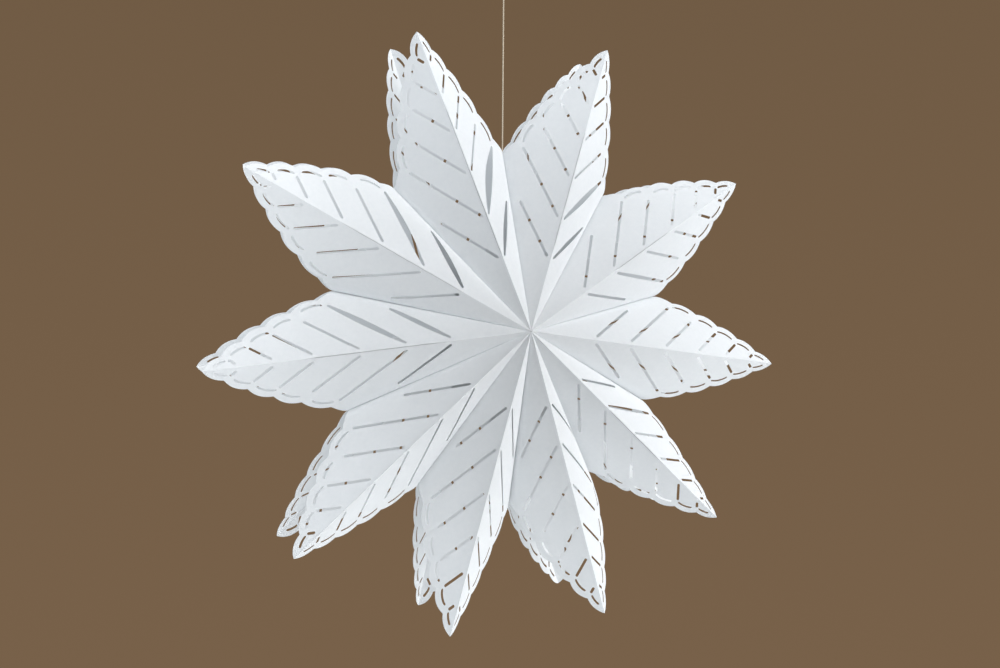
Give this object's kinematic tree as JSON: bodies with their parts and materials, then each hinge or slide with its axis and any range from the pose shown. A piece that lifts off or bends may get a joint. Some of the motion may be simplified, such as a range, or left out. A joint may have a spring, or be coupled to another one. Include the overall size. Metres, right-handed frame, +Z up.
{
  "type": "hanging folded paper star",
  "caption": "White hanging star of pleated paper bags glued into a full circle, with scalloped leaf-shaped points, rows of cut slots and a string for a hook.",
  "frame": {"origin": "the point inside the hanging loop where a hook carries it, straight above the middle of the star", "axes": "+Z up along the string; the star's axis lies along Y with its front toward -Y; +X to the right as seen from the front"},
  "size_m": [0.585, 0.16, 0.6373],
  "materials": {
    "paper": "matte uncoated white paper",
    "string": "twisted cream cotton string"
  },
  "bodies": {
    "root": {"paper_bag_01": "paper", "paper_bag_02": "paper", "paper_bag_03": "paper", "paper_bag_04": "paper", "paper_bag_05": "paper", "paper_bag_06": "paper", "paper_bag_07": "paper", "paper_bag_08": "paper", "paper_bag_09": "paper", "paper_bag_10": "paper", "hanging_string": "string", "stop_knot": "string", "hanging_loop": "string"}
  },
  "joints": []
}
